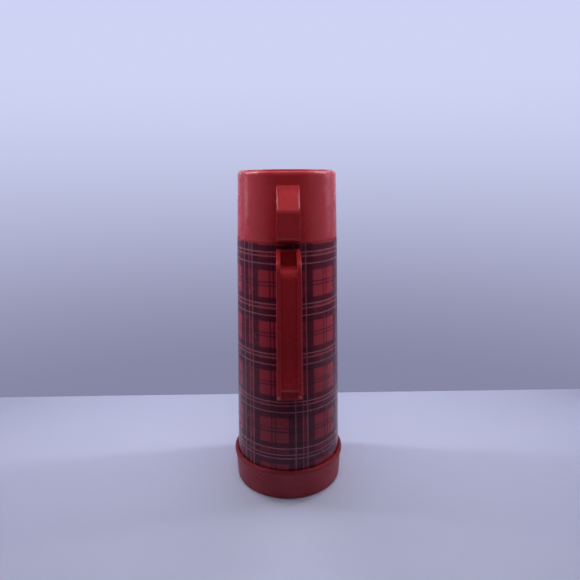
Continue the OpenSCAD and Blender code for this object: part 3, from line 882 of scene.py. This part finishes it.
def build_shell(material):
    """The tapered tube under the plaid, with a narrower threaded foot."""
    top = WRAP_HIGH[2]
    out, inn = WRAP_T + SHELL_CLEAR, WRAP_T + SHELL_T
    outline = rounded([
        (SHELL_BORE, SHELL_FOOT_Z, EASED), (SHELL_FOOT_R, SHELL_FOOT_Z, EASED),
        (SHELL_FOOT_R, SHELL_FOOT_TOP, SOFT),
        (body_r(SHELL_SHELF) - out, SHELL_SHELF, EASED), (body_r(top) - out, top, NEAT),
        (body_r(top) - inn, top, NEAT),
        (body_r(SHELL_CONE_Z) - inn, SHELL_CONE_Z, SHELL_CONE_ROUND),
        (SHELL_BORE, SHELL_BORE_TOP, SHELL_CONE_ROUND)], closed=True)
    mesh = joined(lathe(outline, closed=True), helix_ridge(SHELL_FOOT_R, *SHELL_THREAD))
    return place("body_tube", mesh, material, "root", "body_shell", "body_red")


# ---------------------------------------------------------------- stopper
KNOB_R = 24 * MM
KNOB_SEGMENTS = 240
FLUTES = 12
FLUTE_DEPTH = 1.7 * MM
FLUTE_LOW = 7.5 * MM
FLUTE_FADE = 2.5 * MM
FLUTE_FADE_MID = 1.2 * MM
FLUTED_FROM_R = 22.5 * MM
FLANGE_R = 25.6 * MM
KNOB_BORE = 20.5 * MM
KNOB_INSIDE = 19.5 * MM
KNOB_ROUND = 2.6 * MM
KNOB_FLANGE_TOP = 4 * MM
KNOB_FOOT = 6 * MM
KNOB_END_T = 2 * MM
KNOB_INSIDE_ROUND = 2 * MM
# The dish in the knob's end and the button in its middle: radii at the top and at the foot, and how
# far the floor of the one and the top of the other lie below the knob's end
KNOB_DISH = (19 * MM, 18.2 * MM, 0.7 * MM)
KNOB_BUTTON = (1.8 * MM, 2.2 * MM, 0.4 * MM)


def build_knob(material):
    """A fluted knob over a round flange, hollow from below."""
    low, top = KNOB_LOW[2], KNOB_HIGH[2]
    grip_low = low + FLUTE_LOW
    flange_top, foot, ceiling = low + KNOB_FLANGE_TOP, low + KNOB_FOOT, top - KNOB_END_T
    dish_r, dish_floor_r, dish_depth = KNOB_DISH
    button_r, button_foot_r, button_depth = KNOB_BUTTON
    dish, button = top - dish_depth, top - button_depth

    def fluted(angle, r, z):
        if r < FLUTED_FROM_R or z < grip_low:
            return r
        wave = (0.5 + 0.5 * cos(angle * FLUTES)) ** 3
        fade = min(1.0, (z - grip_low) / FLUTE_FADE)
        return r - FLUTE_DEPTH * wave * fade

    outside = rounded([
        (KNOB_BORE, low, NEAT), (FLANGE_R, low, NEAT),
        (FLANGE_R, flange_top, EASED), (KNOB_R, foot, SOFT),
        (KNOB_R, grip_low, 0), (KNOB_R, grip_low + FLUTE_FADE_MID, 0),
        (KNOB_R, grip_low + FLUTE_FADE, 0), (KNOB_R, top, KNOB_ROUND), (dish_r, top, SOFT),
        (dish_floor_r, dish, SOFT), (button_foot_r, dish, CRISP),
        (button_r, button, CRISP), (0, button, 0)])
    inside = rounded([
        (0, ceiling, 0), (KNOB_INSIDE, ceiling, KNOB_INSIDE_ROUND), (KNOB_INSIDE, foot, EASED),
        (KNOB_BORE, flange_top, EASED), (KNOB_BORE, low, 0)])
    mesh = lathe(inside + outside, segments=KNOB_SEGMENTS, ripple=fluted)
    return place("stopper_knob", mesh, material, "stopper", "stopper_cap", "body_red")


PLUG_R = 21.5 * MM
PLUG_BORE = 19.7 * MM
PLUG_CONE_Z = (279 * MM, 282 * MM)
PLUG_HEAD_R = 23.5 * MM
PLUG_ROUND = 3 * MM
PLUG_FLOOR_T = 1.8 * MM
PLUG_FLOOR_ROUND = 1.5 * MM
# Inner radius, outer radius and depth
PLUG_DIMPLE = (14 * MM, 15 * MM, 0.6 * MM)


def build_plug(material):
    """The stopper's barrel, which widens to its threaded head."""
    low, top = PLUG_LOW[2], PLUG_HIGH[2]
    cone_low, cone_high = PLUG_CONE_Z
    dimple_in, dimple_out, dimple_h = PLUG_DIMPLE
    dimple, floor = low + dimple_h, low + PLUG_FLOOR_T
    outline = rounded([
        (0, dimple, 0), (dimple_in, dimple, BLUNT), (dimple_out, low, EASED),
        (PLUG_R, low, PLUG_ROUND), (PLUG_R, cone_low, BLUNT),
        (PLUG_HEAD_R, cone_high, SOFT),
        (FLANGE_R, cone_high, EASED), (FLANGE_R, top, NEAT), (KNOB_BORE, top, NEAT),
        (PLUG_BORE, cone_high, SOFT), (PLUG_BORE, floor, PLUG_FLOOR_ROUND), (0, floor, 0)])
    mesh = joined(lathe(outline), helix_ridge(FLANGE_R, *PLUG_THREAD))
    return place("stopper_barrel", mesh, material, "stopper", "stopper_plug", "stopper_ivory")


RING_WAIST = 0.6 * MM
RING_WAIST_SHARE = 0.15


def build_ring(name, node, material, body, slot, soft):
    """A plain moulded ring: the CAD node's own size, with rounded edges and a slight waist."""
    low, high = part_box(node)
    radii = sorted(sqrt(v.co.x ** 2 + v.co.y ** 2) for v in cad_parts[node].data.vertices)
    inner, outer = radii[0], radii[-1]
    mid = (low[2] + high[2]) / 2
    waist = min(RING_WAIST_SHARE * (outer - inner), RING_WAIST)
    outline = rounded([
        (inner, low[2], soft), (outer, low[2], soft), (outer - waist, mid, soft * 2),
        (outer, high[2], soft), (inner, high[2], soft), (inner + waist, mid, soft * 2),
    ], closed=True)
    return place(name, lathe(outline, closed=True), material, body, node, slot)


# ---------------------------------------------------------------- glass filler
GLASS_T = 1.2 * MM
VACUUM = 3.2 * MM
SHOULDER_Z = 248 * MM
SHOULDER_SLOPE = 0.9
BORE_R = 40 * MM
NECK_R = 24 * MM
GLASS_FOOT = 14 * MM
FOOT_ROUND = 24 * MM
BOTTLE_STEPS = 14
SHOULDER_ROUND = 14 * MM
NECK_ROUND = 7 * MM
LIP_HEIGHT = 2 * MM
LIP_ROUNDS = (1.1 * MM, 0.9 * MM)


def bottle(r, neck, foot, shoulder, top):
    """Half outline of a bottle, from its foot's centre up to its lip."""
    return rounded([
        (0, foot, 0), (r, foot, FOOT_ROUND),
        (r, shoulder - (r - neck) * SHOULDER_SLOPE, SHOULDER_ROUND),
        (neck, shoulder, NECK_ROUND), (neck, top, 0)], steps=BOTTLE_STEPS)


def build_glass_inner(material):
    """Inner wall with the lip that closes the evacuated space."""
    foot, lip = GLASS_LOW[2], GLASS_HIGH[2]
    edge = lip - LIP_HEIGHT
    lip_r = NECK_R + 2 * GLASS_T + VACUUM
    outside = bottle(BORE_R + GLASS_T, NECK_R + GLASS_T, foot, SHOULDER_Z + GLASS_T, edge)
    inside = bottle(BORE_R, NECK_R, foot + GLASS_T, SHOULDER_Z, lip - 1 * MM)
    round_out, round_in = LIP_ROUNDS
    lip_curve = rounded([
        (lip_r, edge, 0), (lip_r, lip, round_out), (NECK_R, lip, round_in),
        (NECK_R, lip - 1.5 * MM, 0)])
    mesh = lathe(outside + lip_curve + list(reversed(inside)))
    return place("filler_inner_wall", mesh, material, "root", "glass_inner", "glass")


def build_glass_outer(material):
    """Silvered outer wall, one vacuum's width outside the inner one."""
    edge = GLASS_HIGH[2] - LIP_HEIGHT
    gap = GLASS_T + VACUUM
    r, neck, shoulder = BORE_R + gap, NECK_R + gap, SHOULDER_Z + gap
    outside = bottle(r + GLASS_T, neck + GLASS_T, GLASS_FOOT, shoulder + GLASS_T, edge)
    inside = bottle(r, neck, GLASS_FOOT + GLASS_T, shoulder, edge)
    mesh = lathe(outside + list(reversed(inside)))
    return place("filler_outer_wall", mesh, material, "root", "glass_outer", "silvered")


# ---------------------------------------------------------------- stage, light and camera
FLOOR_COLOUR = (0.70, 0.72, 0.88)
CARD_COLOUR = (0.60, 0.61, 0.79)
LAMP_COLOUR = (0.93, 0.94, 1.0)
SIDE_LIGHT = (0.28, 0.295, 0.42, 1.0)
ROOM_LIGHT = (0.010, 0.010, 0.014, 1.0)
# Backdrop with painted shade: darker low down and lighter higher up, as on a wall lit from above
BACKDROP_SHADED = (0.235, 0.24, 0.37, 1.0)
BACKDROP_LIT = (0.62, 0.65, 0.90, 1.0)
# Fades over one part of a direction: from, to, value there, value here
ROOM_FRONT = (-0.9, -0.25, 0.0, 1.0)
ROOM_TOP = (0.30, 0.75, 1.0, 0.04)
BACKDROP_SHADE_FADE = (-0.42, 0.16, 0.0, 1.0)
CARD_Y = 0.205
CARD_HEIGHT = 0.75
STAGE_HALF = 1.2
FLOOR_FRONT = -0.26
# Lamps: name, place, aimed at, width and height, watts, and whether glossy surfaces mirror them.
# The side ones stand on both sides of the flask.
SIDE_LAMPS = (
    ("bar", (0.23, 0.08, 0.52), (0.21, 0.17, 0.05), (0.27, 0.03), 0.56, True),
    ("wall", (0.90, 0.17, 0.34), (0, 0.02, 1.20), (0.06, 0.30), 3.9, False),
)
MIDDLE_LAMPS = (
    ("front_fill", (0, -0.62, 0.80), (0, 0, 0.20), (0.6, 0.4), 0.95, False),
    ("top_fill", (0, -0.08, 0.85), (0, 0, 0.30), (0.3, 0.3), 1.00, False),
)


def stage_sheet(name, corners, colour):
    """A plain matt sheet that isn't part of the object."""
    mesh = bpy.data.meshes.new(name)
    mesh.from_pydata(corners, [], [(0, 1, 2, 3)])
    sheet = bpy.data.objects.new(name, mesh)
    bpy.context.scene.collection.objects.link(sheet)
    n = Nodes(name)
    tone = n.remap(n.noise(3), 0.3, 0.7, 0.0, 1.0)
    n.set(Base_Color=n.mix(tone, rgba(colour, 0.99), rgba(colour, 1.01)))
    n.set(Roughness=n.remap(n.noise(30), 0.3, 0.7, 0.55, 0.65))
    mesh.materials.append(n.material)
    return sheet


def build_stage():
    """Pale floor, and a card behind the flask that bounces light but hides it from no side."""
    x, near, far, high = STAGE_HALF, FLOOR_FRONT, CARD_Y, CARD_HEIGHT
    stage_sheet("floor", [(-x, near, 0), (x, near, 0), (x, far, 0), (-x, far, 0)], FLOOR_COLOUR)
    corners = [(-x, far, 0), (x, far, 0), (x, far, high), (-x, far, high)]
    card = stage_sheet("bounce_card", corners, CARD_COLOUR)
    card.visible_camera = False


def soft_light(name, place_at, target, size, energy, mirrored):
    lamp = bpy.data.lights.new(name, "AREA")
    lamp.shape = "RECTANGLE"
    lamp.size, lamp.size_y = size
    lamp.energy = energy
    lamp.color = LAMP_COLOUR
    light = bpy.data.objects.new(name, lamp)
    light.location = place_at
    light.rotation_euler = (Vector(target) - Vector(place_at)).to_track_quat("-Z", "Y").to_euler()
    light.visible_camera = False
    light.visible_glossy = mirrored
    bpy.context.scene.collection.objects.link(light)


def build_world():
    """Light from the sides and the back that fades to a dim room in front, and a backdrop with
    painted shade.

    The backdrop's colours are what the camera sees past the floor; they light nothing. Its painted
    shade darkens it towards the bottom, as on a wall lit from above.
    """
    world = bpy.data.worlds.new("soft_room")
    bpy.context.scene.world = world
    world.use_nodes = True
    tree = world.node_tree
    coords = tree.nodes.new("ShaderNodeTexCoord")
    split = tree.nodes.new("ShaderNodeSeparateXYZ")
    tree.links.new(coords.outputs["Generated"], split.inputs[0])

    def fade(axis, *limits):
        node = tree.nodes.new("ShaderNodeMapRange")
        node.interpolation_type = "SMOOTHSTEP"
        for socket, value in zip(("From Min", "From Max", "To Min", "To Max"), limits):
            node.inputs[socket].default_value = value
        tree.links.new(split.outputs[axis], node.inputs["Value"])
        return node.outputs[0]

    def blend(factor, a, b):
        node = tree.nodes.new("ShaderNodeMix")
        node.data_type = "RGBA"
        tree.links.new(factor, node.inputs["Factor"])
        for value, socket in ((a, node.inputs["A"]), (b, node.inputs["B"])):
            if isinstance(value, bpy.types.NodeSocket):
                tree.links.new(value, socket)
            else:
                socket.default_value = value
        return node.outputs["Result"]

    both = tree.nodes.new("ShaderNodeMath")
    both.operation = "MULTIPLY"
    tree.links.new(fade("Y", *ROOM_FRONT), both.inputs[0])
    tree.links.new(fade("Z", *ROOM_TOP), both.inputs[1])
    room = blend(both.outputs[0], ROOM_LIGHT, SIDE_LIGHT)
    # Painted shade: the backdrop darkens towards the bottom
    backdrop = blend(fade("Z", *BACKDROP_SHADE_FADE), BACKDROP_SHADED, BACKDROP_LIT)
    seen = tree.nodes.new("ShaderNodeLightPath").outputs["Is Camera Ray"]
    tree.links.new(blend(seen, room, backdrop), tree.nodes["Background"].inputs["Color"])


def build_lights():
    for side, prefix in ((-1, "left_"), (1, "right_")):
        for name, (x, y, z), (aim_x, aim_y, aim_z), *rest in SIDE_LAMPS:
            soft_light(prefix + name, (side * x, y, z), (side * aim_x, aim_y, aim_z), *rest)
    for lamp in MIDDLE_LAMPS:
        soft_light(*lamp)
    build_world()


CAMERA_FOCAL_PX = 512.8
FRAME_PX = 580
SENSOR_MM = 36.0
CAMERA_BACK = 558 * MM
CAMERA_HEIGHT = 371.4 * MM
CAMERA_RIGHT = 2.9 * MM
CAMERA_PITCH = radians(14.58)
CAMERA_TURN = radians(1.2)
CAMERA_ROLL = radians(-0.29)


def build_camera():
    """The photographer's place: in front of the handles, slightly left of them, looking down."""
    ahead = Vector((sin(CAMERA_TURN), cos(CAMERA_TURN), 0))
    right = Vector((cos(CAMERA_TURN), -sin(CAMERA_TURN), 0))
    eye = right * CAMERA_RIGHT - ahead * CAMERA_BACK + Vector((0, 0, CAMERA_HEIGHT))
    look = ahead * cos(CAMERA_PITCH) - Vector((0, 0, sin(CAMERA_PITCH)))
    up = right.cross(look)
    turned = Matrix((right, up, -look)).transposed() @ Matrix.Rotation(CAMERA_ROLL, 3, "Z")
    lens = bpy.data.cameras.new("camera")
    lens.sensor_width = SENSOR_MM
    lens.lens = SENSOR_MM * CAMERA_FOCAL_PX / FRAME_PX
    lens.clip_start = 0.01
    camera = bpy.data.objects.new("camera", lens)
    camera.matrix_world = Matrix.Translation(eye) @ turned.to_4x4()
    bpy.context.scene.collection.objects.link(camera)
    bpy.context.scene.camera = camera
    bpy.context.scene.view_settings.view_transform = "Standard"


def paint_frame_node(node, material):
    """Gives a CAD node whose own shape is right its finished material."""
    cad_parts[node].data.materials.clear()
    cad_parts[node].data.materials.append(material)


build_camera()
build_stage()
build_lights()

CUP_RED = (0.56, 0.034, 0.042)
LINER_RED = (0.52, 0.038, 0.045)
HANDLE_RED = (0.52, 0.026, 0.034)
BODY_RED = (0.46, 0.030, 0.036)
BASE_RED = (0.28, 0.022, 0.032)
IVORY = (0.80, 0.74, 0.60)
FOAM = (0.80, 0.74, 0.58)
WASHER = (0.62, 0.58, 0.50)
RUBBER = (0.035, 0.035, 0.04)
FELT = (0.22, 0.21, 0.19)

cup_red = moulded_plastic("cup_red_plastic", CUP_RED, 0.25, scuffs=0.2, gloss=0.5)
liner_red = moulded_plastic("liner_red_plastic", LINER_RED, 0.45, scuffs=0.2)
grip_red = moulded_plastic("handle_red_plastic", HANDLE_RED, 0.32)
body_red = moulded_plastic("body_red_plastic", BODY_RED, 0.44, scuffs=0.2)
base_red = moulded_plastic("base_red_plastic", BASE_RED, 0.42, scuffs=0.8, gloss=0.25)
plaid = plaid_material("plaid_print")
ivory = moulded_plastic("ivory_plastic", IVORY, 0.45, scuffs=0.3)
foam = soft_material("insulating_foam", FOAM, grain=900, roughness=0.85, depth=0.4 * MM)
washer = soft_material("pale_washer", WASHER, grain=1400, roughness=0.6, depth=0.1 * MM)
rubber = soft_material("black_rubber", RUBBER, grain=1200, roughness=0.62, depth=0.1 * MM)
felt = soft_material("grey_felt", FELT, grain=700, roughness=0.95, depth=0.6 * MM)
clear = glass_material("clear_glass", silver=False)
silver = glass_material("silvered_glass", silver=True)
steel = plated_steel("plated_steel")

build_cup_shell(cup_red)
build_cup_liner(liner_red)
build_cup_handle(cup_red)
build_body_handle(grip_red)
build_plaid_wrap(plaid)
build_base(base_red)
build_collar(body_red)
build_shell(body_red)
build_knob(grip_red)
build_plug(ivory)
build_glass_inner(clear)
build_glass_outer(silver)

# Plain rings: piece, CAD node, material, body, slot, rounding of the edges
for ring in [
    ("cup_washer_ring", "cup_seal", washer, "cup_washer", "washer", NEAT),
    ("stopper_washer_ring", "stopper_gasket", washer, "stopper_washer", "washer", NEAT),
    ("neck_rubber_ring", "neck_gasket", rubber, "root", "rubber", EASED),
    ("base_washer_ring", "base_seal", washer, "root", "washer", EASED),
    ("upper_felt_ring", "shock_ring_upper", felt, "root", "pad", 1.2 * MM),
    ("lower_felt_ring", "shock_ring_lower", felt, "root", "pad", 1.2 * MM),
    ("tip_rubber_ring", "tip_guard", rubber, "root", "rubber", EASED),
]:
    build_ring(*ring)

for node, material in [
    ("handle_screws", steel), ("handle_anchors", steel), ("glass_spacers", felt),
    ("glass_tip", clear), ("base_cushion", rubber), ("stopper_foam", foam),
]:
    paint_frame_node(node, material)
